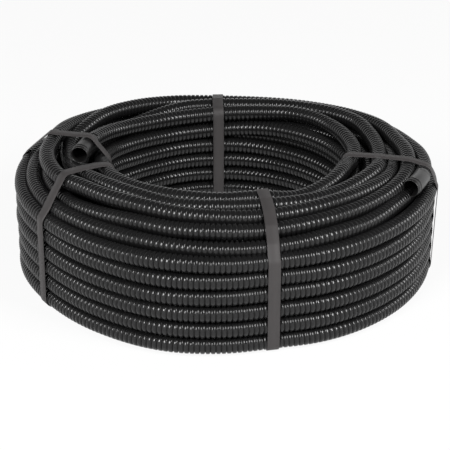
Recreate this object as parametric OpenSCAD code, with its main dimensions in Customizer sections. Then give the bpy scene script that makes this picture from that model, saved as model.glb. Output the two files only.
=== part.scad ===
// Coil of corrugated plastic conduit, held by five packing straps.
// The coil stands on its flat side with its bore upright: +Z up, origin on the
// floor at the coil's axis, -Y towards the front. All sizes are in millimetres.
// Bearings are degrees from the front (-Y), positive towards +X.

/* [Conduit] */
// Outside diameter of the conduit over its ribs
tube_od = 20; // [16:0.5:24]
// Distance between neighbouring turns, a little under the diameter as ribs mesh
turn_pitch = 19.6; // [15.5:0.1:23.5]
// Thickness of the conduit's wall
wall_t = 0.8; // [0.5:0.1:1.5]

/* [Coil] */
// Diameter of the hole through the coil, between the innermost turns
bore_d = 291; // [240:1:340]
// Diameter over the outermost turns
coil_od = 516; // [480:1:560]
// Turns stacked in the inner and outer walls
wall_turns = 6; // [4:1:8]

/* [Free ends] */
// Outside diameter of the smooth cuff at each end
cuff_od = 22; // [18:0.5:26]
// Length of each cuff
cuff_len = 50; // [44:1:60]
// Depth of the open bore in each cuff
cuff_bore_depth = 36; // [20:1:38]
// Bearing of the outer end's mouth
outer_mouth_az = 63; // [50:1:72]
// Bearing of the inner end's mouth
inner_mouth_az = -77; // [-82:1:-70]

/* [Straps] */
// Width of the packing strap
strap_w = 14; // [10:0.5:18]
// Thickness of the packing strap
strap_t = 0.8; // [0.5:0.1:1.2]
// Clearance between a strap and the turns that it holds
strap_gap = 0.3; // [0.2:0.1:0.5]

/* [Hidden] */

// Radii of the innermost and outermost turns' centre lines
r_in = bore_d / 2 + tube_od / 2;
r_out = coil_od / 2 - tube_od / 2;
// Turns across the coil, and their heights on its crowned top, in turn pitches
// above the inner and outer walls, from the bore outwards
row_turns = 5;
crown = [0, 0.2, 0.1, -0.2, -0.65];
// How far in from the outermost turn the last, loose turn lies
loose_inset = 0.3 * turn_pitch;
// Clearance between a loose end and the turns that it rests on
rest_gap = 0.3;
// Bearings over which the loose outer turn leaves the wall, crosses inwards over
// the crown and goes down into the winding
cross_az = [246, 300, 318, 338];
// Radius of the crossing turn, counted in turns out from the bore
cross_row = 3.1;
// Bearings between which the inner end climbs out of the winding
climb_az = [208, 236];
// Row between two turns in which the inner end lies
inner_row = 1.5;
// Bearings of each strap at the bore and at the outside
front_az = [12, 12];
right_az = [84, 80];
back_az = [182, 182];
left_front_az = [287, 303];
left_back_az = [278, 259];
// Number of sides of the swept loose turns, and degrees between their rings
tube_sides = 16;
ring_step = 4;
// Points round each bend of a strap, and along each straight
bend_points = 5;
run_points = 4;

// Height of a turn's centre, where turn 0 lies on the straps
function level(k) = strap_t + strap_gap + tube_od / 2 + k * turn_pitch;
// Radius of a turn in the coil's horizontal rows
function row_r(i) = r_in + (r_out - r_in) * i / row_turns;

// Centres of the turns that show, as [radius, height]
inner_wall = [for (i = [0 : wall_turns - 1]) [r_in, level(i)]];
outer_wall = [for (i = [0 : wall_turns - 1]) [r_out, level(i)]];
bottom_row = [for (i = [1 : row_turns - 1]) [row_r(i), level(0)]];
top_row = [for (i = [0 : row_turns - 1]) [row_r(i), level(wall_turns + crown[i])]];
turns = concat(inner_wall, outer_wall, bottom_row, top_row);

// Height at which a tube of diameter d rests on the turns at radius r
function rest_z(r, d) =
    max([for (c = turns)
        let (reach = (tube_od + d) / 2 + rest_gap, dr = r - c[0])
        if (abs(dr) < reach) c[1] + sqrt(reach * reach - dr * dr)]);

function mix(a, b, t) = a + (b - a) * t;
function ease(lo, hi, x) =
    let (t = min(1, max(0, (x - lo) / (hi - lo)))) t * t * (3 - 2 * t);
// Point at radius r, bearing az and height z
function polar(r, az, z) = [r * sin(az), -r * cos(az), z];
function unit(v) = v / norm(v);

// Winding: one turned solid, its turns showing on every face
module winding() {
    rotate_extrude($fn = 96) {
        for (c = turns) translate(c) circle(d = tube_od, $fn = 48);
        polygon(concat([inner_wall[0], outer_wall[0], outer_wall[wall_turns - 1]],
                       [for (i = [row_turns - 1 : -1 : 0]) top_row[i]]));
    }
}

// Centre line of the last turn: round on top of the outer wall, then in over the
// crown and down into the winding
function loose_r(az) =
    mix(r_out - loose_inset, row_r(cross_row), ease(cross_az[0], cross_az[1], az));
function loose_z(az) =
    mix(rest_z(loose_r(az), tube_od), level(wall_turns - 0.9),
        ease(cross_az[2], cross_az[3], az));
// Centre line of the inner end, climbing out of the winding
function inner_z(az) =
    mix(level(wall_turns - 0.9), rest_z(row_r(inner_row), cuff_od),
        ease(climb_az[0], climb_az[1], az));

// Tube swept along a centre line, with closed ends
module swept_tube(path, d) {
    last = len(path) - 1;
    rings = [for (i = [0 : last])
        let (ahead = unit(path[min(i + 1, last)] - path[max(i - 1, 0)]),
             side = unit(cross([0, 0, 1], ahead)),
             up = cross(ahead, side))
        for (k = [0 : tube_sides - 1])
            let (a = 360 * k / tube_sides)
            path[i] + d / 2 * (cos(a) * side + sin(a) * up)];
    walls = [for (i = [0 : last - 1]) for (k = [0 : tube_sides - 1])
        let (a = i * tube_sides + k, b = i * tube_sides + (k + 1) % tube_sides)
        for (face = [[a, a + tube_sides, b], [b, a + tube_sides, b + tube_sides]]) face];
    first_end = [[for (k = [0 : tube_sides - 1]) k]];
    last_end = [[for (k = [tube_sides - 1 : -1 : 0]) last * tube_sides + k]];
    polyhedron(rings, concat(walls, first_end, last_end));
}

// Smooth cuff from its closed back to its open mouth
module cuff(back, mouth) {
    along = mouth - back;
    length = norm(along);
    translate(back)
        rotate([0, acos(along[2] / length), atan2(along[1], along[0])])
            difference() {
                cylinder(d = cuff_od, h = length, $fn = 48);
                translate([0, 0, length - cuff_bore_depth])
                    cylinder(d = cuff_od - 2 * wall_t, h = cuff_bore_depth + 1, $fn = 48);
            }
}

module conduit() {
    outer_back_az = outer_mouth_az + cuff_len / r_out * 180 / PI;
    outer_back = polar(loose_r(outer_back_az), outer_back_az,
                       rest_z(loose_r(outer_back_az), cuff_od));
    mouth_r = r_out - 2 * loose_inset;
    outer_mouth = polar(mouth_r, outer_mouth_az, rest_z(mouth_r, cuff_od));
    inner_back_az = 360 + inner_mouth_az - cuff_len / row_r(inner_row) * 180 / PI;
    inner_back = polar(row_r(inner_row), inner_back_az, inner_z(inner_back_az));
    inner_mouth = polar(row_r(inner_row), inner_mouth_az, inner_z(360));
    color([0.09, 0.09, 0.1]) {
        winding();
        swept_tube(concat([mix(outer_back, outer_mouth, 0.1)],
                          [for (az = [outer_back_az + ring_step : ring_step : cross_az[3]])
                              polar(loose_r(az), az, loose_z(az))]), tube_od);
        cuff(outer_back, outer_mouth);
        swept_tube(concat([mix(inner_back, inner_mouth, 0.1)],
                          [for (az = [inner_back_az - ring_step : -ring_step : climb_az[0]])
                              polar(row_r(inner_row), az, inner_z(az))]), tube_od);
        cuff(inner_back, inner_mouth);
    }
}

// Outline of a strap pulled tight round convex corners, at distance r from their
// centres, as [radius, height, outward angle]
function wrapped(corners, r) =
    let (n = len(corners),
         away = [for (i = [0 : n - 1])
             let (run = corners[(i + 1) % n] - corners[i]) atan2(run[1], run[0]) - 90])
    [for (i = [0 : n - 1])
        let (a0 = away[(i + n - 1) % n],
             turn = (away[i] - a0 + 720) % 360,
             here = corners[i], there = corners[(i + 1) % n])
        each concat(
            [for (k = [0 : bend_points - 1])
                let (a = a0 + turn * k / (bend_points - 1))
                [here[0] + r * cos(a), here[1] + r * sin(a), a]],
            [for (k = [1 : run_points - 1])
                let (p = mix(here, there, k / run_points))
                [p[0] + r * cos(away[i]), p[1] + r * sin(away[i]), away[i]]])];

// Flat strap round the coil's section, from one bearing at the bore to another
// at the outside
module strap(corners, az) {
    outline = wrapped(corners, tube_od / 2 + strap_gap + strap_t / 2);
    n = len(outline);
    function bearing(r) = mix(az[0], az[1], min(1, max(0, (r - r_in) / (r_out - r_in))));
    centre = [for (p = outline) polar(p[0], bearing(p[0]), p[1])];
    points = [for (i = [0 : n - 1])
        let (ahead = unit(centre[(i + 1) % n] - centre[(i + n - 1) % n]),
             face = polar(cos(outline[i][2]), bearing(outline[i][0]), sin(outline[i][2])),
             across = unit(cross(ahead, face)),
             out = cross(across, ahead))
        for (corner = [[-1, -1], [1, -1], [1, 1], [-1, 1]])
            centre[i] + corner[0] * strap_w / 2 * across + corner[1] * strap_t / 2 * out];
    faces = [for (i = [0 : n - 1]) for (k = [0 : 3])
        let (a = 4 * i + k, b = 4 * i + (k + 1) % 4, n4 = 4 * n)
        for (face = [[a, b, (a + 4) % n4], [b, (b + 4) % n4, (a + 4) % n4]]) face];
    color([0.36, 0.34, 0.33]) polyhedron(points, faces);
}

foot = [[r_in, level(0)], [r_out, level(0)], [r_out, level(wall_turns - 1)]];
function loose_corner(az) = [[loose_r(az), loose_z(az)]];

module strap_front() {
    strap(concat(foot, [for (i = [3 : -1 : 0]) top_row[i]]), front_az);
}

module strap_right() {
    strap(concat(foot, loose_corner(right_az[1]), [top_row[1], top_row[0]]), right_az);
}

module strap_back() {
    strap(concat(foot, loose_corner(back_az[1]), [top_row[1], top_row[0]]), back_az);
}

module strap_left_front() {
    strap(concat(foot, loose_corner(cross_az[1]), [top_row[0]]), left_front_az);
}

module strap_left_back() {
    over_cuff = [row_r(inner_row), inner_z(360) + 0.75 * (cuff_od - tube_od)];
    strap(concat(foot, loose_corner(left_back_az[1]), [over_cuff, top_row[0]]), left_back_az);
}

conduit();
strap_front();
strap_right();
strap_back();
strap_left_front();
strap_left_back();
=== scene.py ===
"""Looks of a coil of black corrugated conduit, tied with five grey packing straps.

Laid out as an add-on and run as a script. The turns of conduit follow listed centre
lines round the coil; Geometry Nodes sweep the ribbed tube along them. Straps are pulled
tight round whatever turns they cross. Lengths are metres, bearings are degrees from the
front (-Y), positive towards +X.
"""

import math

import bmesh
import bpy
import numpy as np
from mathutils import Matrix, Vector


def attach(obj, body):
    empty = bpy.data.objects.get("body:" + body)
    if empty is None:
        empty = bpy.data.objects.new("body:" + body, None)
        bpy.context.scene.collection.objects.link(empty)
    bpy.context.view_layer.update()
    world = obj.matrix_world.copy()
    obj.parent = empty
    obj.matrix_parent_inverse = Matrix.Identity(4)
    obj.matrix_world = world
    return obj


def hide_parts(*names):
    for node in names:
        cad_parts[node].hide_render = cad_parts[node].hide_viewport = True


bl_info = {
    "name": "Corrugated Conduit Coil",
    "version": (1, 0, 0),
    "blender": (4, 5, 0),
    "location": "View3D > Sidebar > Conduit Coil",
    "description": "Ribbed turns, end cuffs, packing straps and studio for a conduit coil",
    "category": "Object",
}

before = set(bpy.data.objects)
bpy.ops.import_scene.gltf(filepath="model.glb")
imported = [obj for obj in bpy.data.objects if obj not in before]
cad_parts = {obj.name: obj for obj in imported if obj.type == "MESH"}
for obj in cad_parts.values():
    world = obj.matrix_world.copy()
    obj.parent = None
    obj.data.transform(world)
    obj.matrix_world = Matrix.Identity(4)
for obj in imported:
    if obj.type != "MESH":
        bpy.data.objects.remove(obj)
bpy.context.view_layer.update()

# Centre lines of the turns, as points of bearing, radius and height. Radius and height
# are counted in turn pitches.

# Height of a turn that rests on the straps under the coil
REST_HEIGHT = 0.5

# Outer wall: radius by bearing, shared by its stacked turns
WALL_RADIUS = ((-150, 12.61), (-105, 12.61), (-75, 12.59), (-57, 12.43), (-35, 12.53),
               (-14, 12.75), (0, 12.56), (12, 12.3), (25, 12.48), (50, 12.53), (80, 12.48),
               (110, 12.58), (150, 12.61), (180, 12.58))
WALL_TURNS = 5
# Height of the outer wall's lowest turn, and of each turn over the one below
WALL_FIRST_HEIGHT = 0.52
WALL_STEP = 1.02
# Waviness of those turns: its random seed, and the least and greatest size of a wave
WOBBLE_SEED = 7
WOBBLE_SIZES = (0.01, 0.03)
# Top turn of the outer wall, which ducks under the loose turn at the back
WALL_TOP = ((-190, 11.6, 4.8), (-160, 11.7, 4.9), (-135, 12.1, 5.2), (-112, 12.55, 5.5),
            (-75, 12.59, 5.55), (-57, 12.43, 5.55), (-35, 12.53, 5.6), (-14, 12.75, 5.68),
            (0, 12.56, 5.6), (12, 12.3, 5.56), (25, 12.48, 5.62), (50, 12.56, 5.68),
            (80, 12.59, 5.5), (105, 12.55, 5.1), (128, 12.0, 4.85), (160, 11.6, 4.8))
# Loose turn: from the outer cuff backwards round the coil, over the left side, then
# along the front crown until it sinks between its neighbours
LOOSE = ((76, 12.15, 6.62), (85, 12.2, 6.5), (94, 12.15, 6.4), (105, 12.0, 6.2),
         (118, 12.08, 5.95), (132, 12.15, 5.75), (150, 12.2, 5.6), (180, 12.2, 5.5),
         (202, 12.1, 5.7), (219, 11.6, 6.05), (238, 11.35, 6.55), (250, 11.1, 6.95),
         (260, 10.95, 7.15), (274, 11.05, 7.2), (286, 10.95, 7.2), (295, 10.75, 7.2),
         (304, 10.35, 7.3), (316, 10.2, 7.4), (329, 10.15, 7.48), (342, 10.05, 7.33),
         (360, 10.1, 7.27), (369, 10.05, 7.2), (384, 10.0, 7.19), (399, 10.0, 7.18),
         (415, 10.02, 6.95), (432, 10.22, 6.65), (446, 10.3, 6.35), (460, 10.42, 6.1),
         (480, 10.5, 5.6), (505, 10.5, 5.2))
# Nearly three laps of the crown, from under the loose turn at the left
CROWN = ((-130, 10.9, 5.4), (-112, 10.75, 5.75), (-95, 10.9, 6.0), (-80, 11.0, 6.1),
         (-68, 10.95, 6.2), (-55, 10.98, 6.35), (-42, 10.95, 6.6), (-29, 10.9, 6.8),
         (-16, 10.95, 6.78), (0, 11.05, 6.85), (8, 10.97, 6.77), (21, 10.98, 6.82),
         (34, 10.97, 6.85), (50, 10.93, 6.75), (62, 11.05, 6.72), (77, 11.25, 6.7),
         (93, 11.22, 6.75), (104, 11.12, 6.65), (116, 11.3, 6.55), (130, 11.4, 6.3),
         (150, 11.4, 6.0), (180, 11.2, 5.9), (200, 11.2, 6.15), (214, 10.8, 6.5),
         (228, 10.6, 6.68), (242, 10.25, 6.7), (252, 10.35, 6.45), (262, 10.1, 6.3),
         (270, 9.8, 6.35), (280, 9.55, 6.55), (292, 9.25, 6.95), (305, 9.15, 7.3),
         (324, 9.1, 7.45), (340, 9.04, 7.33), (360, 9.1, 7.45), (370, 9.05, 7.42),
         (387, 9.0, 7.22), (405, 9.0, 7.03), (422, 9.2, 7.0), (436, 9.48, 6.9),
         (444, 9.45, 6.65), (458, 9.65, 6.6), (472, 9.95, 6.6), (485, 10.35, 6.6),
         (495, 10.35, 6.55), (508, 10.0, 6.5), (520, 9.6, 6.5), (532, 9.2, 6.5),
         (545, 9.1, 6.5), (558, 9.2, 6.45), (575, 9.25, 6.1), (592, 9.35, 5.8),
         (610, 9.3, 5.75), (635, 8.9, 5.8), (670, 8.6, 6.2), (720, 8.6, 6.5),
         (765, 8.55, 6.1), (804, 8.85, 5.85), (825, 8.9, 5.85), (850, 9.3, 5.5),
         (890, 8.6, 5.45), (920, 8.6, 5.3))
# Turn between the crown and the outer wall
SHOULDER = ((-180, 11.3, 5.0), (-140, 11.5, 5.3), (-110, 11.8, 5.8), (-82, 11.92, 6.0),
            (-64, 11.86, 6.05), (-45, 11.78, 6.15), (-25, 11.75, 6.2), (-15, 11.78, 6.15),
            (0, 11.77, 6.1), (19, 11.82, 6.2), (31, 11.86, 6.32), (44, 11.76, 6.22),
            (58, 11.62, 6.2), (76, 11.6, 5.85), (90, 11.55, 5.6), (115, 11.45, 5.3),
            (145, 11.35, 5.0))
# Inner end and inner wall: one run from the inner cuff backwards, down the bore
BORE_WALL = ((-97.6, 8.47, 7.27), (-110, 8.32, 7.0), (-124, 8.22, 6.65), (-142, 8.0, 6.42),
             (-160, 7.9, 6.35), (-180, 7.98, 6.4), (-190, 8.1, 6.45), (-200, 8.45, 6.45),
             (-210, 8.8, 6.5), (-220, 8.93, 6.5), (-230, 8.75, 6.5), (-240, 8.5, 6.55),
             (-252, 8.25, 6.6), (-264, 8.08, 6.6), (-274, 7.78, 6.6), (-283, 7.52, 6.78),
             (-294, 7.6, 7.0), (-310, 7.85, 7.05), (-329, 8.0, 7.0), (-349, 8.03, 7.45),
             (-360, 8.09, 7.43), (-383, 8.0, 7.34), (-400, 7.95, 7.2), (-418, 7.85, 7.0),
             (-436, 7.72, 6.65), (-452, 7.78, 6.25), (-465, 7.9, 5.95), (-480, 7.93, 5.6),
             (-494, 7.93, 5.38), (-510, 7.93, 5.22), (-525, 7.93, 5.2), (-542, 7.93, 5.31),
             (-560, 7.93, 5.5), (-590, 7.95, 5.6), (-620, 8.0, 5.6), (-645, 7.95, 5.85),
             (-675, 7.95, 6.25), (-720, 7.97, 6.4), (-765, 7.93, 6.0), (-800, 7.93, 5.3),
             (-834, 7.93, 4.71), (-848, 7.93, 4.37), (-860, 7.93, 4.24), (-880, 7.93, 4.17),
             (-900, 7.93, 4.15), (-935, 7.93, 4.02), (-975, 7.93, 3.98), (-1030, 7.93, 4.15),
             (-1080, 7.93, 4.3), (-1130, 7.93, 4.05), (-1197, 7.93, 3.5),
             (-1219, 7.93, 3.22), (-1240, 7.93, 3.14), (-1285, 7.93, 3.06),
             (-1320, 7.93, 3.0), (-1380, 7.93, 3.15), (-1440, 7.93, 3.25),
             (-1500, 7.93, 2.85), (-1577, 7.93, 2.2), (-1600, 7.93, 2.12),
             (-1680, 7.93, 2.0), (-1740, 7.93, 2.1), (-1800, 7.93, 2.2), (-1870, 7.93, 1.6),
             (-1938, 7.93, 1.1), (-2040, 7.93, 1.0), (-2100, 7.93, 1.1), (-2160, 7.95, 1.15),
             (-2220, 8.05, 0.75), (-2260, 8.25, 0.53), (-2340, 8.35, 0.52),
             (-2420, 8.1, 0.52), (-2520, 8.0, 0.52), (-2560, 8.1, 0.52))
# Extra turn that comes out between two turns of the inner wall
BORE_EXTRA = ((186, 8.8, 4.75), (176, 8.5, 4.78), (160, 8.42, 4.84), (138, 8.4, 4.84),
              (115, 8.3, 4.82), (90, 8.05, 4.9), (60, 7.95, 5.15), (0, 7.95, 5.35),
              (-40, 7.95, 5.1), (-70, 8.2, 4.75), (-95, 8.7, 4.6))
# Radii of the turns under the coil
UNDERSIDE = (9.25, 10.4, 11.5)
# Section of the dark filling behind the visible turns
FILLING = ((8.3, 0.8), (12.35, 0.8), (12.35, 4.5), (11.6, 4.8), (10.6, 5.1), (9.5, 5.2),
           (8.6, 4.9), (8.3, 4.3))

# Degrees by which a closed turn's start is moved in from the end of its run of points
LEAD_IN = 40

# Runs of the two cuffs, as points of bearing, radius and height, mouth last
OUTER_CUFF = ((77, 12.17, 6.6), (71, 12.1, 6.72), (64, 12.0, 6.82))
INNER_CUFF = ((-97.6, 8.47, 7.27), (-81.5, 9.12, 7.35))

# Facets round the tube of the pieces that are seen least
FEWER_SIDES = {"underside_turns": 10, "bore_wall_turns": 14}

# Bearings of each strap at the bore and at the outside, and the radii of those two ends
STRAP_ENDS = (7.93, 12.65)
STRAP_BEARINGS = {
    "strap_front": (15, 12),
    "strap_right": (84, 80),
    "strap_back": (184, 182.6),
    "strap_left_front": (290, 303),
    "strap_left_back": (268, 259),
}
# Rise of a strap over a cuff, as a share of how far the cuff stands out from the tube
CUFF_LIFT = 1.5
# Degrees from a strap within which a turn counts as crossing it
CROSSING_REACH = 20
# Distance between the lines of the strap's diamond emboss
EMBOSS_PITCH = 0.0016

# Lamps: bearing, angle above the floor and width, all at one distance from the coil
LAMPS = {"lamp_left": (-32, 36, 1.1), "lamp_right": (56, 36, 1.1)}
LAMP_DISTANCE = 3.0
# Share of plain white in the floor's look where it is seen directly
FLOOR_GLOW = 0.9
# Room's brightness low down and overhead, and the rise over which it changes
ROOM_LEVELS = (1.0, 0.12)
ROOM_CHANGE = (0.3, 0.55)
# Width of the camera's sensor in millimetres, and its shift sideways and up
SENSOR_WIDTH = 36.0
CAMERA_SHIFT = (-0.0029, -0.0334)


class ConduitSizes(bpy.types.PropertyGroup):
    """Sizes of the corrugated tube and its turns."""

    tube_diameter: bpy.props.FloatProperty(
        name="Tube diameter", description="Outside diameter over the ribs",
        default=0.020, min=0.016, max=0.024, unit="LENGTH")
    turn_pitch: bpy.props.FloatProperty(
        name="Turn pitch", description="Distance between neighbouring turns",
        default=0.0196, min=0.015, max=0.024, unit="LENGTH")
    first_level: bpy.props.FloatProperty(
        name="First level", description="Height of the lowest turns' centre lines",
        default=0.0111, min=0.008, max=0.014, unit="LENGTH")
    rib_pitch: bpy.props.FloatProperty(
        name="Rib pitch", description="Distance from one rib to the next",
        default=0.0058, min=0.004, max=0.008, unit="LENGTH")
    groove_depth: bpy.props.FloatProperty(
        name="Groove depth", description="Depth of the groove between two ribs",
        default=0.0022, min=0.0005, max=0.003, unit="LENGTH")
    sides: bpy.props.IntProperty(
        name="Sides", description="Facets round the tube", default=16, min=8, max=32)


class CuffSizes(bpy.types.PropertyGroup):
    """Sizes of the smooth cuff on each free end."""

    diameter: bpy.props.FloatProperty(
        name="Diameter", description="Outside diameter of the cuff",
        default=0.022, min=0.018, max=0.026, unit="LENGTH")
    length: bpy.props.FloatProperty(
        name="Length", description="Length of the cuff",
        default=0.050, min=0.03, max=0.06, unit="LENGTH")
    wall: bpy.props.FloatProperty(
        name="Wall", description="Thickness of the cuff's wall",
        default=0.0010, min=0.0005, max=0.002, unit="LENGTH")
    bore_depth: bpy.props.FloatProperty(
        name="Bore depth", description="Depth of the cuff's open bore",
        default=0.036, min=0.02, max=0.045, unit="LENGTH")


class StrapSizes(bpy.types.PropertyGroup):
    """Sizes of the packing strap."""

    width: bpy.props.FloatProperty(
        name="Width", description="Width of the strap",
        default=0.014, min=0.010, max=0.018, unit="LENGTH")
    thickness: bpy.props.FloatProperty(
        name="Thickness", description="Thickness of the strap",
        default=0.0008, min=0.0005, max=0.0012, unit="LENGTH")
    gap: bpy.props.FloatProperty(
        name="Gap", description="Clearance between the strap and the ribs",
        default=0.0003, min=0.0, max=0.001, unit="LENGTH")


class FinishColours(bpy.types.PropertyGroup):
    """Colours of the plastics."""

    conduit: bpy.props.FloatVectorProperty(
        name="Conduit", description="Black of the conduit's plastic", subtype="COLOR",
        size=3, default=(0.006, 0.006, 0.0063), min=0.0, max=1.0)
    dust: bpy.props.FloatVectorProperty(
        name="Dust", description="Pale dust caught between the ribs", subtype="COLOR",
        size=3, default=(0.035, 0.033, 0.031), min=0.0, max=1.0)
    strap: bpy.props.FloatVectorProperty(
        name="Strap", description="Warm grey of the strap", subtype="COLOR",
        size=3, default=(0.04, 0.0365, 0.0365), min=0.0, max=1.0)


class StudioSettings(bpy.types.PropertyGroup):
    """Camera and light of the stage."""

    elevation: bpy.props.FloatProperty(
        name="Elevation", description="Camera's angle above the floor",
        default=math.radians(25.38), subtype="ANGLE")
    distance: bpy.props.FloatProperty(
        name="Distance", description="Camera's distance from the middle of the coil",
        default=1.866, min=0.5, max=10.0, unit="LENGTH")
    aim_height: bpy.props.FloatProperty(
        name="Aim height", description="Height of the point that the camera looks at",
        default=0.0601, min=0.0, max=1.0, unit="LENGTH")
    lens: bpy.props.FloatProperty(
        name="Lens", description="Focal length on a 36 mm wide sensor, in millimetres",
        default=120.35, min=20.0, max=300.0)
    lamp_power: bpy.props.FloatProperty(
        name="Lamp power", description="Power of each soft lamp, in watts",
        default=72.0, min=0.0, max=500.0)
    room_light: bpy.props.FloatProperty(
        name="Room light", description="Room's light, as a share of its seen brightness",
        default=0.5, min=0.0, max=2.0)


# --- shared helpers ---------------------------------------------------------------

def polar(bearing, radius, height):
    """Point on a vertical circle round the coil's axis."""
    angle = math.radians(bearing)
    return Vector((radius * math.sin(angle), -radius * math.cos(angle), height))


def smooth_course(points, step=2.0):
    """Smooth run through points of bearing, radius and height, one row every few degrees."""
    points = np.array(points, float)
    bearing = points[:, 0]
    along = np.abs(bearing - bearing[0])
    slope = np.gradient(points[:, 1:], along, axis=0)
    spots = np.linspace(0, along[-1], max(2, int(along[-1] / step)) + 1)
    left = np.clip(np.searchsorted(along, spots, "right") - 1, 0, len(along) - 2)
    width = (along[left + 1] - along[left])[:, None]
    t = (spots - along[left])[:, None] / width
    low, high = points[left, 1:], points[left + 1, 1:]
    smooth = ((1 + 2 * t) * (1 - t) ** 2 * low + t * (1 - t) ** 2 * width * slope[left]
              + t * t * (3 - 2 * t) * high + t * t * (t - 1) * width * slope[left + 1])
    turned = bearing[0] + np.sign(bearing[-1] - bearing[0]) * spots
    return np.column_stack([turned, smooth])


def closed_course(radii, height, step=2.0):
    """Full circle at one height whose radius follows points of bearing and radius."""
    points = [(bearing, radius, height) for bearing, radius in radii]
    wrapped = ([(points[-1][0] - 360,) + points[-1][1:]] + points
               + [(p[0] + 360,) + p[1:] for p in points[:2]])
    course = smooth_course(wrapped, step)
    start = course[0, 0] + LEAD_IN
    return course[(course[:, 0] >= start) & (course[:, 0] < start + 360 - step / 2)]


def in_metres(course, sizes):
    """Points in space of a course counted in turn pitches."""
    return [polar(bearing, radius * sizes.turn_pitch,
                  sizes.first_level + (height - REST_HEIGHT) * sizes.turn_pitch)
            for bearing, radius, height in course]


def all_courses():
    """Every turn's centre line, by the piece it belongs to: (course, closed)."""
    wobble = np.random.default_rng(WOBBLE_SEED)
    wall = []
    for level in range(WALL_TURNS):
        course = closed_course(WALL_RADIUS, WALL_FIRST_HEIGHT + WALL_STEP * level)
        phase = wobble.uniform(0, 2 * math.pi, 3)
        size = wobble.uniform(*WOBBLE_SIZES, 3)
        for k in range(3):
            course[:, 1 + k % 2] += size[k] * np.sin(
                np.radians(course[:, 0]) * (k + 2) + phase[k])
        wall.append((course, True))
    underside = []
    for radius in UNDERSIDE:
        ring = closed_course([(b, radius) for b in range(-180, 180, 45)], REST_HEIGHT)
        underside.append((ring, True))
    return {
        "outer_wall_lower": wall[:3],
        "outer_wall_upper": wall[3:] + [(smooth_course(WALL_TOP), False)],
        "loose_turn": [(smooth_course(LOOSE), False)],
        "crown_turns": [(smooth_course(CROWN), False), (smooth_course(SHOULDER), False)],
        "bore_wall_turns": [(smooth_course(BORE_WALL), False),
                            (smooth_course(BORE_EXTRA), False)],
        "underside_turns": underside,
    }


def finish_piece(piece, material, slot, *replaced):
    """Gives a piece its finish and ties it to the frame."""
    if material is not None:
        piece.data.materials.clear()
        piece.data.materials.append(material)
    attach(piece, "root")
    if replaced:
        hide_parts(*replaced)


def mesh_piece(name, points, faces, smooth=True):
    """New object from points and faces, with its place in its mesh."""
    mesh = bpy.data.meshes.new(name)
    mesh.from_pydata([tuple(p) for p in points], [], faces)
    mesh.validate()
    mesh.polygons.foreach_set("use_smooth", [smooth] * len(mesh.polygons))
    piece = bpy.data.objects.new(name, mesh)
    bpy.context.scene.collection.objects.link(piece)
    return piece


# --- shader helpers ---------------------------------------------------------------

class Value:
    """A number socket in a shader; operators add the Math nodes."""

    def __init__(self, graph, socket):
        self.graph = graph
        self.socket = socket

    def _math(self, operation, *operands):
        return self.graph.add("ShaderNodeMath", {"operation": operation},
                              dict(enumerate(operands)))["Value"]

    def __add__(self, other):
        return self._math("ADD", self, other)

    def __radd__(self, other):
        return self._math("ADD", other, self)

    def __sub__(self, other):
        return self._math("SUBTRACT", self, other)

    def __rsub__(self, other):
        return self._math("SUBTRACT", other, self)

    def __mul__(self, other):
        return self._math("MULTIPLY", self, other)

    def __truediv__(self, other):
        return self._math("DIVIDE", self, other)

    def __pow__(self, other):
        return self._math("POWER", self, other)


class Graph:
    """Node tree that is filled one node at a time."""

    def __init__(self, tree):
        self.tree = tree
        tree.nodes.clear()

    def add(self, kind, settings=None, inputs=None):
        """Adds a node: its settings first, then its sockets' values or links."""
        node = self.tree.nodes.new(kind)
        for name, value in (settings or {}).items():
            if name == "stops":
                self._set_stops(node.color_ramp, value)
            else:
                setattr(node, name, value)
        for key, value in (inputs or {}).items():
            socket = node.inputs[key]
            if isinstance(value, Value):
                value = value.socket
            if isinstance(value, bpy.types.NodeSocket):
                self.tree.links.new(value, socket)
            else:
                socket.default_value = value
        return {out.name: Value(self, out) for out in node.outputs if out.enabled}

    @staticmethod
    def _set_stops(ramp, stops):
        while len(ramp.elements) < len(stops):
            ramp.elements.new(1.0)
        for element, (position, level) in zip(ramp.elements, stops):
            element.position = position
            element.color = (level, level, level, 1.0)


def seen_directly(graph):
    """1 for rays from the camera, or by way of gloss or glass; 0 for light itself."""
    path = graph.add("ShaderNodeLightPath")
    seen = path["Is Camera Ray"]
    for kind in ("Is Glossy Ray", "Is Transmission Ray"):
        seen = graph.add("ShaderNodeMath", {"operation": "MAXIMUM"},
                         {0: seen, 1: path[kind]})["Value"]
    return seen


def new_material(name):
    """Empty material, and its graph."""
    material = bpy.data.materials.new(name)
    material.use_nodes = True
    return material, Graph(material.node_tree)


def plastic(graph, settings, colour, roughness, height, bump_strength, bump_distance):
    """Principled plastic with a bump."""
    bump = graph.add("ShaderNodeBump", {}, {
        "Strength": bump_strength, "Distance": bump_distance, "Height": height})
    inputs = {"Base Color": colour, "Roughness": roughness, "Normal": bump["Normal"]}
    inputs.update(settings)
    return graph.add("ShaderNodeBsdfPrincipled", {}, inputs)["BSDF"]


def plastic_output(graph, *finish):
    """Principled plastic with a bump, sent to the material's output."""
    graph.add("ShaderNodeOutputMaterial", {}, {"Surface": plastic(graph, *finish)})


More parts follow.
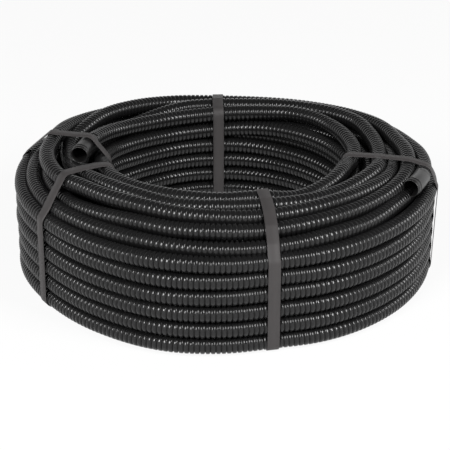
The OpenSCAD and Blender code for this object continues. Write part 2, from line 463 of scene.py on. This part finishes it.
def conduit_material(name, colours):
    """Glossy black plastic: a little dust and painted shade in the grooves, faint mould mottling.
    """
    material, graph = new_material(name)
    place = graph.add("ShaderNodeTexCoord")["Object"]
    groove = graph.add("ShaderNodeAttribute", {"attribute_name": "groove"})["Fac"]
    patches = graph.add("ShaderNodeTexNoise", {}, {
        "Vector": place, "Scale": 22.0, "Detail": 3.0, "Roughness": 0.6})["Fac"]
    grain = graph.add("ShaderNodeTexNoise", {}, {
        "Vector": place, "Scale": 900.0, "Detail": 2.0})["Fac"]
    dusty = groove * patches * 0.25 + patches * 0.06
    colour = graph.add("ShaderNodeMix", {"data_type": "RGBA"}, {
        "Factor": dusty, 6: (*colours.conduit, 1.0), 7: (*colours.dust, 1.0)})["Result"]
    roughness = 0.14 + patches * 0.08 + groove * 0.25
    crest = plastic(graph, {"IOR": 1.45}, colour, roughness, grain, 0.08, 0.0003)
    # Painted shade: nearer each groove's floor a matte copy with almost no reflection takes over.
    painted_groove_shade = plastic(graph, {"Specular IOR Level": 0.05}, colour, 0.8, grain, 0.08, 0.0003)
    mixed = graph.add("ShaderNodeMixShader", {}, {0: groove ** 0.7, 1: crest, 2: painted_groove_shade})
    graph.add("ShaderNodeOutputMaterial", {}, {"Surface": mixed["Shader"]})
    return material


def cuff_material(name, colours):
    """Black plastic of the smooth cuffs, a little more satin than the ribs."""
    material, graph = new_material(name)
    place = graph.add("ShaderNodeTexCoord")["Object"]
    patches = graph.add("ShaderNodeTexNoise", {}, {
        "Vector": place, "Scale": 60.0, "Detail": 4.0})["Fac"]
    grain = graph.add("ShaderNodeTexNoise", {}, {
        "Vector": place, "Scale": 1500.0, "Detail": 2.0})["Fac"]
    colour = graph.add("ShaderNodeMix", {"data_type": "RGBA"}, {
        "Factor": patches * 0.3, 6: (*colours.conduit, 1.0), 7: (*colours.dust, 1.0)})["Result"]
    roughness = 0.3 + patches * 0.14
    plastic_output(graph, {"IOR": 1.5}, colour, roughness, grain, 0.1, 0.0003)
    return material


def filling_material(name, colours):
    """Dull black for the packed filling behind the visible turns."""
    material, graph = new_material(name)
    place = graph.add("ShaderNodeTexCoord")["Object"]
    patches = graph.add("ShaderNodeTexNoise", {}, {
        "Vector": place, "Scale": 40.0, "Detail": 2.0})["Fac"]
    colour = graph.add("ShaderNodeMix", {"data_type": "RGBA"}, {
        "Factor": patches * 0.2, 6: (*colours.conduit, 1.0), 7: (*colours.dust, 1.0)})["Result"]
    plastic_output(graph, {}, colour, 0.7 + patches * 0.1, patches, 0.2, 0.001)
    return material


def strap_material(name, colours):
    """Warm grey strap: fine diamond emboss, scuffs along its length."""
    material, graph = new_material(name)
    along = graph.add("ShaderNodeUVMap", {"uv_map": "strap_run"})["UV"]
    apart = graph.add("ShaderNodeSeparateXYZ", {}, {0: along})
    lay, across = apart["X"], apart["Y"]
    diagonals = []
    for sign in (1.0, -1.0):
        slant = (lay + across * sign) * (2 * math.pi / EMBOSS_PITCH)
        diagonals.append(graph.add("ShaderNodeMath", {"operation": "SINE"}, {0: slant})["Value"])
    emboss = (diagonals[0] * diagonals[1]) * 0.5 + 0.5
    stretched = graph.add("ShaderNodeMapping", {}, {"Vector": along, "Scale": (25.0, 700.0, 1.0)})
    scuffs = graph.add("ShaderNodeTexNoise", {}, {
        "Vector": stretched["Vector"], "Scale": 1.0, "Detail": 4.0, "Roughness": 0.6})["Fac"]
    place = graph.add("ShaderNodeTexCoord")["Object"]
    patches = graph.add("ShaderNodeTexNoise", {}, {
        "Vector": place, "Scale": 18.0, "Detail": 3.0})["Fac"]
    tone = scuffs * 0.35 + patches * 0.25 + emboss * 0.08
    base = tuple(colours.strap)
    dark = tuple(0.72 * c for c in base)
    pale = tuple(1.45 * c for c in base)
    colour = graph.add("ShaderNodeMix", {"data_type": "RGBA"}, {
        "Factor": tone, 6: (*dark, 1.0), 7: (*pale, 1.0)})["Result"]
    roughness = 0.5 + scuffs * 0.16
    plastic_output(graph, {"IOR": 1.42}, colour, roughness, emboss, 0.25, 0.0002)
    return material


# Name of each kind of material, and the function that makes it
MATERIALS = {
    "conduit": ("black_conduit_plastic", conduit_material),
    "cuff": ("black_cuff_plastic", cuff_material),
    "filling": ("packed_turns_shadow", filling_material),
    "strap": ("warm_grey_strap", strap_material),
}


def shared_material(kind):
    """Material of one kind, made the first time that it is asked for."""
    name, maker = MATERIALS[kind]
    return bpy.data.materials.get(name) or maker(name, bpy.context.scene.coil_colours)


# --- ribbed tube ------------------------------------------------------------------

# Rings of points along each rib: one in the groove's floor, four over the crest
STATIONS_PER_RIB = 5
CREST_STATION = 2.5


def ribbed_tube_tree():
    """Node tree that sweeps a corrugated tube along every edge run of a mesh."""
    tree = bpy.data.node_groups.new("ribbed_tube", "GeometryNodeTree")
    face = tree.interface
    face.new_socket("Geometry", in_out="INPUT", socket_type="NodeSocketGeometry")
    for name, kind in (("Tube Radius", "NodeSocketFloat"), ("Rib Pitch", "NodeSocketFloat"),
                       ("Groove Depth", "NodeSocketFloat"), ("Sides", "NodeSocketInt"),
                       ("Material", "NodeSocketMaterial")):
        face.new_socket(name, in_out="INPUT", socket_type=kind)
    face.new_socket("Geometry", in_out="OUTPUT", socket_type="NodeSocketGeometry")
    graph = Graph(tree)
    given = graph.add("NodeGroupInput")
    line = graph.add("GeometryNodeMeshToCurve", {}, {"Mesh": given["Geometry"]})["Curve"]
    length = graph.add("GeometryNodeSplineLength")["Length"]
    closed = graph.add("GeometryNodeInputSplineCyclic")["Cyclic"]
    ribs = graph.add("ShaderNodeMath", {"operation": "ROUND"},
                     {0: length / given["Rib Pitch"]})["Value"]
    count = ribs * STATIONS_PER_RIB + (1 - closed)
    line = graph.add("GeometryNodeResampleCurve", {"mode": "COUNT"},
                     {"Curve": line, "Count": count})["Curve"]
    line = graph.add("GeometryNodeSetCurveNormal", {"mode": "Z_UP"}, {"Curve": line})["Curve"]
    station = graph.add("ShaderNodeMath", {"operation": "MODULO"}, {
        0: graph.add("GeometryNodeSplineParameter")["Index"], 1: STATIONS_PER_RIB})["Value"]
    from_crest = graph.add("ShaderNodeMath", {"operation": "ABSOLUTE"},
                           {0: station - CREST_STATION})["Value"]
    groove = (from_crest / CREST_STATION) ** 5
    line = graph.add("GeometryNodeStoreNamedAttribute", {"data_type": "FLOAT"}, {
        "Geometry": line, "Name": "groove", "Value": groove})["Geometry"]
    ring = graph.add("GeometryNodeCurvePrimitiveCircle", {"mode": "RADIUS"},
                     {"Resolution": given["Sides"], "Radius": 1.0})["Curve"]
    scale = given["Tube Radius"] - groove * given["Groove Depth"]
    tube = graph.add("GeometryNodeCurveToMesh", {}, {
        "Curve": line, "Profile Curve": ring, "Scale": scale, "Fill Caps": True})["Mesh"]
    tube = graph.add("GeometryNodeSetShadeSmooth", {}, {"Geometry": tube})["Geometry"]
    tube = graph.add("GeometryNodeRealizeInstances", {}, {"Geometry": tube})["Geometry"]
    tube = graph.add("GeometryNodeSetMaterial", {}, {
        "Geometry": tube, "Material": given["Material"]})["Geometry"]
    graph.add("NodeGroupOutput", {}, {"Geometry": tube})
    return tree


def ribbed_piece(name, courses, sizes, sides):
    """Sweeps the ribbed tube along courses and returns the plain mesh piece."""
    points, edges = [], []
    for course, closed in courses:
        first = len(points)
        points += in_metres(course, sizes)
        last = len(points) - 1
        edges += [(i, i + 1) for i in range(first, last)]
        if closed:
            edges.append((last, first))
    mesh = bpy.data.meshes.new(name + "_lines")
    mesh.from_pydata([tuple(p) for p in points], edges, [])
    lines = bpy.data.objects.new(name + "_lines", mesh)
    bpy.context.scene.collection.objects.link(lines)
    tree = bpy.data.node_groups.get("ribbed_tube") or ribbed_tube_tree()
    modifier = lines.modifiers.new("ribbed_tube", "NODES")
    modifier.node_group = tree
    values = {"Tube Radius": sizes.tube_diameter / 2, "Rib Pitch": sizes.rib_pitch,
              "Groove Depth": sizes.groove_depth, "Sides": sides,
              "Material": shared_material("conduit")}
    for item in tree.interface.items_tree:
        if item.in_out == "INPUT" and item.name in values:
            modifier[item.identifier] = values[item.name]
    bpy.context.view_layer.update()
    graph = bpy.context.evaluated_depsgraph_get()
    swept = bpy.data.meshes.new_from_object(
        lines.evaluated_get(graph), preserve_all_data_layers=True, depsgraph=graph)
    if not swept.polygons:
        raise RuntimeError(f"{name}: the tube came out empty")
    bpy.data.objects.remove(lines)
    bpy.data.meshes.remove(mesh)
    piece = bpy.data.objects.new(name, swept)
    swept.name = name
    bpy.context.scene.collection.objects.link(piece)
    return piece


# --- cuffs ------------------------------------------------------------------------

def turned_along(path, outline, sides=40):
    """Points and faces of a round form: rings of the outline's radii at its distances
    along a path of points. The outline runs from one end's middle to the other's."""
    path = np.array([tuple(p) for p in path])
    run = np.concatenate([[0], np.cumsum(np.linalg.norm(np.diff(path, axis=0), axis=1))])
    points, faces = [], []
    for distance, radius in outline:
        spot = Vector([np.interp(distance, run, path[:, k]) for k in range(3)])
        k = int(np.clip(np.searchsorted(run, distance), 1, len(run) - 1))
        ahead = Vector(path[k] - path[k - 1]).normalized()
        side = ahead.cross(Vector((0, 0, 1))).normalized()
        up = side.cross(ahead)
        for i in range(sides):
            angle = 2 * math.pi * i / sides
            points.append(spot + radius * (math.cos(angle) * side + math.sin(angle) * up))
    for ring in range(len(outline) - 1):
        for i in range(sides):
            a, b = ring * sides + i, ring * sides + (i + 1) % sides
            faces.append((a, b, b + sides, a + sides))
    faces.append(tuple(range(sides - 1, -1, -1)))
    last = (len(outline) - 1) * sides
    faces.append(tuple(range(last, last + sides)))
    return points, faces


def cuff_outline(cuff, tube_radius):
    """Outline of a cuff: tapers out of the tube, two rings near the mouth, open bore.
    The rings have the cuff's full diameter, and its plain length lies a little lower."""
    big, length, wall = cuff.diameter / 2, cuff.length, cuff.wall
    ring = 0.0007
    outline = [(0.0, tube_radius * 0.5), (0.0, tube_radius * 0.9), (0.003, big - 0.0008),
               (0.005, big - 0.0002), (0.008, big - ring)]
    body = np.linspace(0.011, length - 0.012, 8)
    outline += [(float(d), big - ring) for d in body]
    for start in (length - 0.011, length - 0.005):
        outline += [(start, big - ring), (start + 0.0008, big), (start + 0.0022, big),
                    (start + 0.003, big - ring)]
    outline += [(length - 0.0006, big - ring), (length, big - ring - 0.0003),
                (length, big - ring - wall + 0.0002)]
    inner = big - ring - wall
    for k in range(6):
        back = length - 0.003 - k * 0.0055
        outline += [(back, inner), (back - 0.0015, inner + 0.0003), (back - 0.003, inner)]
    outline += [(length - cuff.bore_depth, inner), (length - cuff.bore_depth, 0.0005)]
    return outline


def cuff_piece(name, course, cuff, sizes):
    """Cuff along a course of bearing, radius and height, mouth last."""
    path = in_metres(smooth_course(course, 1.0), sizes)
    points, faces = turned_along(path, cuff_outline(cuff, sizes.tube_diameter / 2))
    return mesh_piece(name, points, faces)


# --- straps -----------------------------------------------------------------------

def crossings(courses, bearing_at):
    """Where a strap's vertical surface cuts the courses, as (radius, height)."""
    found = []
    for course, closed in courses:
        rows = np.vstack([course, course[:1]]) if closed else course
        off = (rows[:, 0] - bearing_at(rows[:, 1]) + 180) % 360 - 180
        near = np.abs(off[:-1]) < CROSSING_REACH
        for k in np.nonzero((off[:-1] * off[1:] <= 0) & near)[0]:
            share = off[k] / (off[k] - off[k + 1]) if off[k] != off[k + 1] else 0.0
            found.append(tuple(rows[k, 1:] + share * (rows[k + 1, 1:] - rows[k, 1:])))
    return found


def convex_corners(centres):
    """Corners of the tight loop round a set of (radius, height) centres, in order."""
    centres = sorted(set(centres))

    def half(run):
        out = []
        for p in run:
            while len(out) > 1 and ((out[-1][0] - out[-2][0]) * (p[1] - out[-2][1])
                                    - (out[-1][1] - out[-2][1]) * (p[0] - out[-2][0])) <= 0:
                out.pop()
            out.append(p)
        return out[:-1]

    return half(centres) + half(reversed(centres))


def wrapped_outline(corners, reach, bend_points=7, run_points=5):
    """Strap's loop at a distance from the corners, as (radius, height, outward angle)."""
    rows = []
    count = len(corners)
    away = [math.atan2(corners[(i + 1) % count][1] - corners[i][1],
                       corners[(i + 1) % count][0] - corners[i][0]) - math.pi / 2
            for i in range(count)]
    for i, (here, there) in enumerate(zip(corners, corners[1:] + corners[:1])):
        turn = (away[i] - away[i - 1]) % (2 * math.pi)
        for k in range(bend_points):
            angle = away[i - 1] + turn * k / (bend_points - 1)
            rows.append((here[0] + reach * math.cos(angle),
                         here[1] + reach * math.sin(angle), angle))
        for k in range(1, run_points):
            share = k / run_points
            rows.append((here[0] + (there[0] - here[0]) * share + reach * math.cos(away[i]),
                         here[1] + (there[1] - here[1]) * share + reach * math.sin(away[i]),
                         away[i]))
    return rows


def strap_piece(name, bearings, courses, strap, sizes):
    """Closed ribbon pulled tight round the turns that it crosses."""
    pitch = sizes.turn_pitch
    r_in, r_out = STRAP_ENDS

    def bearing_at(radius):
        share = np.clip((radius - r_in) / (r_out - r_in), 0, 1)
        return bearings[0] + (bearings[1] - bearings[0]) * share

    corners = convex_corners(crossings(courses, bearing_at))
    reach = (sizes.tube_diameter / 2 + strap.gap + strap.thickness / 2) / pitch
    loop = wrapped_outline(corners, reach)
    centre, outward = [], []
    for radius, height, angle in loop:
        bearing = float(bearing_at(radius))
        centre.append(polar(bearing, radius * pitch,
                            sizes.first_level + (height - REST_HEIGHT) * pitch))
        outward.append(polar(bearing, math.cos(angle), math.sin(angle)))
    half, thick = strap.width / 2, strap.thickness / 2
    edge = thick * 0.6
    section = ((-half, 0), (-half + edge, thick), (0, thick), (half - edge, thick), (half, 0),
               (half - edge, -thick), (0, -thick), (-half + edge, -thick))
    count, sides = len(centre), len(section)
    points, run = [], [0.0]
    for i in range(count):
        ahead = (centre[(i + 1) % count] - centre[i - 1]).normalized()
        across = ahead.cross(outward[i]).normalized()
        out = across.cross(ahead)
        for x, y in section:
            point = centre[i] + x * across + y * out
            point.z = max(point.z, 0.0)
            points.append(point)
        run.append(run[-1] + (centre[(i + 1) % count] - centre[i]).length)
    faces, marks = [], []
    for i in range(count):
        for k in range(sides):
            a, b = i * sides + k, i * sides + (k + 1) % sides
            far = (i + 1) % count * sides
            faces.append((a, b, far + (k + 1) % sides, far + k))
            lay = (run[i], run[i], run[i + 1], run[i + 1])
            spread = (section[k][0], section[(k + 1) % sides][0]) * 2
            marks += [(lay[0], spread[0]), (lay[1], spread[1]),
                      (lay[2], spread[1]), (lay[3], spread[0])]
    piece = mesh_piece(name, points, faces)
    grid = piece.data.uv_layers.new(name="strap_run")
    grid.data.foreach_set("uv", [v for mark in marks for v in mark])
    turn_outwards(piece)
    return piece


def turn_outwards(piece):
    """Points a closed mesh's faces outwards."""
    build = bmesh.new()
    build.from_mesh(piece.data)
    bmesh.ops.recalc_face_normals(build, faces=build.faces)
    build.to_mesh(piece.data)
    build.free()


# --- operators --------------------------------------------------------------------

class COIL_OT_turns(bpy.types.Operator):
    """Makes the ribbed turns of conduit."""

    bl_idname = "coil.turns"
    bl_label = "Conduit turns"

    def execute(self, context):
        sizes = context.scene.coil_conduit
        for name, courses in all_courses().items():
            piece = ribbed_piece(name, courses, sizes, FEWER_SIDES.get(name, sizes.sides))
            finish_piece(piece, None, "conduit", "conduit")
        return {"FINISHED"}


class COIL_OT_filling(bpy.types.Operator):
    """Makes the dark filling behind the visible turns."""

    bl_idname = "coil.filling"
    bl_label = "Packed filling"

    def execute(self, context):
        sizes = context.scene.coil_conduit
        points, faces = [], []
        steps, sides = 72, len(FILLING)
        for i in range(steps):
            ring = [(360 * i / steps, r, z) for r, z in FILLING]
            points += in_metres(ring, sizes)
        for i in range(steps):
            for k in range(sides):
                a, b = i * sides + k, i * sides + (k + 1) % sides
                far = (i + 1) % steps * sides
                faces.append((a, b, far + (k + 1) % sides, far + k))
        piece = mesh_piece("packed_filling", points, faces)
        turn_outwards(piece)
        finish_piece(piece, shared_material("filling"), "conduit", "conduit")
        return {"FINISHED"}


class COIL_OT_cuffs(bpy.types.Operator):
    """Makes the smooth cuff on each free end."""

    bl_idname = "coil.cuffs"
    bl_label = "End cuffs"

    def execute(self, context):
        scene = context.scene
        for name, course in (("outer_cuff", OUTER_CUFF), ("inner_cuff", INNER_CUFF)):
            piece = cuff_piece(name, course, scene.coil_cuff, scene.coil_conduit)
            turn_outwards(piece)
            finish_piece(piece, shared_material("cuff"), "conduit", "conduit")
        return {"FINISHED"}


class COIL_OT_straps(bpy.types.Operator):
    """Makes the five packing straps, pulled tight round the turns."""

    bl_idname = "coil.straps"
    bl_label = "Packing straps"

    def execute(self, context):
        scene = context.scene
        sizes, cuff = scene.coil_conduit, scene.coil_cuff
        courses = [c for group in all_courses().values() for c in group]
        lift = CUFF_LIFT * (cuff.diameter - sizes.tube_diameter) / 2 / sizes.turn_pitch
        for mouth_run in (OUTER_CUFF, INNER_CUFF):
            raised = [(b, r, h + lift) for b, r, h in mouth_run]
            courses.append((smooth_course(raised, 1.0), False))
        for name, bearings in STRAP_BEARINGS.items():
            piece = strap_piece(name.replace("strap_", "packing_strap_"), bearings,
                                courses, scene.coil_strap, sizes)
            finish_piece(piece, shared_material("strap"), "strap", name)
        return {"FINISHED"}


class COIL_OT_stage(bpy.types.Operator):
    """Makes the floor, the light and the camera."""

    bl_idname = "coil.stage"
    bl_label = "Studio"

    def execute(self, context):
        scene = context.scene
        studio = scene.coil_studio
        self.floor()
        self.room(scene, studio.room_light)
        for name, (bearing, height, size) in LAMPS.items():
            self.lamp(name, bearing, height, size, studio.lamp_power)
        self.camera(scene, studio)
        scene.view_settings.view_transform = "Standard"
        return {"FINISHED"}

    def floor(self):
        """Pale floor that reads as white and keeps the coil's shadow."""
        reach, steps = 6.0, 48
        rim = [polar(360 * i / steps, reach, 0) for i in range(steps)]
        floor = mesh_piece("studio_floor", rim, [tuple(range(steps))], smooth=False)
        material, graph = new_material("pale_floor")
        lit = graph.add("ShaderNodeBsdfPrincipled", {}, {
            "Base Color": (0.9, 0.9, 0.9, 1.0), "Roughness": 0.8})
        glow = graph.add("ShaderNodeEmission", {}, {"Color": (1, 1, 1, 1), "Strength": 1.0})
        seen = seen_directly(graph) * FLOOR_GLOW
        mixed = graph.add("ShaderNodeMixShader", {}, {
            0: seen, 1: lit["BSDF"], 2: glow["Emission"]})
        graph.add("ShaderNodeOutputMaterial", {}, {"Surface": mixed["Shader"]})
        floor.data.materials.append(material)

    def room(self, scene, level):
        """Room that is bright low down and dim overhead; dimmer as light than as seen."""
        world = bpy.data.worlds.new("studio_room")
        world.use_nodes = True
        scene.world = world
        graph = Graph(world.node_tree)
        seen = seen_directly(graph)
        direction = graph.add("ShaderNodeTexCoord")["Generated"]
        height = graph.add("ShaderNodeSeparateXYZ", {}, {0: direction})["Z"]
        backdrop = graph.add("ShaderNodeMapRange", {"interpolation_type": "SMOOTHSTEP"}, {
            "Value": height, "From Min": ROOM_CHANGE[0], "From Max": ROOM_CHANGE[1],
            "To Min": ROOM_LEVELS[0], "To Max": ROOM_LEVELS[1]})["Result"]
        light = graph.add("ShaderNodeBackground", {}, {
            "Color": (1, 1, 1, 1), "Strength": backdrop * level})
        white = graph.add("ShaderNodeBackground", {}, {
            "Color": (1, 1, 1, 1), "Strength": backdrop})
        mixed = graph.add("ShaderNodeMixShader", {}, {
            0: seen, 1: light["Background"], 2: white["Background"]})
        graph.add("ShaderNodeOutputWorld", {}, {"Surface": mixed["Shader"]})

    def lamp(self, name, bearing, height, size, power):
        """Soft square lamp aimed at the coil from a bearing and an angle of height."""
        data = bpy.data.lights.new(name, "AREA")
        data.shape = "SQUARE"
        data.size = size
        data.energy = power
        lamp = bpy.data.objects.new(name, data)
        spot = polar(bearing, LAMP_DISTANCE * math.cos(math.radians(height)),
                     LAMP_DISTANCE * math.sin(math.radians(height)))
        lamp.location = spot
        lamp.rotation_euler = (-spot).to_track_quat("-Z", "Y").to_euler()
        bpy.context.scene.collection.objects.link(lamp)

    def camera(self, scene, studio):
        """Camera in front, looking down at the coil."""
        data = bpy.data.cameras.new("camera")
        data.lens = studio.lens
        data.sensor_width = SENSOR_WIDTH
        data.shift_x, data.shift_y = CAMERA_SHIFT
        camera = bpy.data.objects.new("camera", data)
        aim = Vector((0, 0, studio.aim_height))
        camera.location = aim + studio.distance * Vector(
            (0, -math.cos(studio.elevation), math.sin(studio.elevation)))
        camera.rotation_euler = (aim - camera.location).to_track_quat("-Z", "Y").to_euler()
        scene.collection.objects.link(camera)
        scene.camera = camera


class COIL_PT_panel(bpy.types.Panel):
    """Lists the coil's pieces and sizes."""

    bl_idname = "COIL_PT_panel"
    bl_label = "Conduit Coil"
    bl_space_type = "VIEW_3D"
    bl_region_type = "UI"
    bl_category = "Conduit Coil"

    def draw(self, context):
        layout = self.layout
        for group in ("coil_conduit", "coil_cuff", "coil_strap", "coil_colours",
                      "coil_studio"):
            settings = getattr(context.scene, group)
            for name in settings.bl_rna.properties.keys():
                if name not in ("rna_type", "name"):
                    layout.prop(settings, name)
        for operator in OPERATORS:
            layout.operator(operator.bl_idname)


GROUPS = {"coil_conduit": ConduitSizes, "coil_cuff": CuffSizes, "coil_strap": StrapSizes,
          "coil_colours": FinishColours, "coil_studio": StudioSettings}
OPERATORS = (COIL_OT_turns, COIL_OT_filling, COIL_OT_cuffs, COIL_OT_straps, COIL_OT_stage)


def register():
    for name, group in GROUPS.items():
        bpy.utils.register_class(group)
        setattr(bpy.types.Scene, name, bpy.props.PointerProperty(type=group))
    for operator in OPERATORS:
        bpy.utils.register_class(operator)
    bpy.utils.register_class(COIL_PT_panel)


def unregister():
    bpy.utils.unregister_class(COIL_PT_panel)
    for operator in reversed(OPERATORS):
        bpy.utils.unregister_class(operator)
    for name, group in GROUPS.items():
        delattr(bpy.types.Scene, name)
        bpy.utils.unregister_class(group)


def main():
    register()
    bpy.ops.coil.turns()
    bpy.ops.coil.filling()
    bpy.ops.coil.cuffs()
    bpy.ops.coil.straps()
    bpy.ops.coil.stage()


if __name__ == "__main__":
    main()
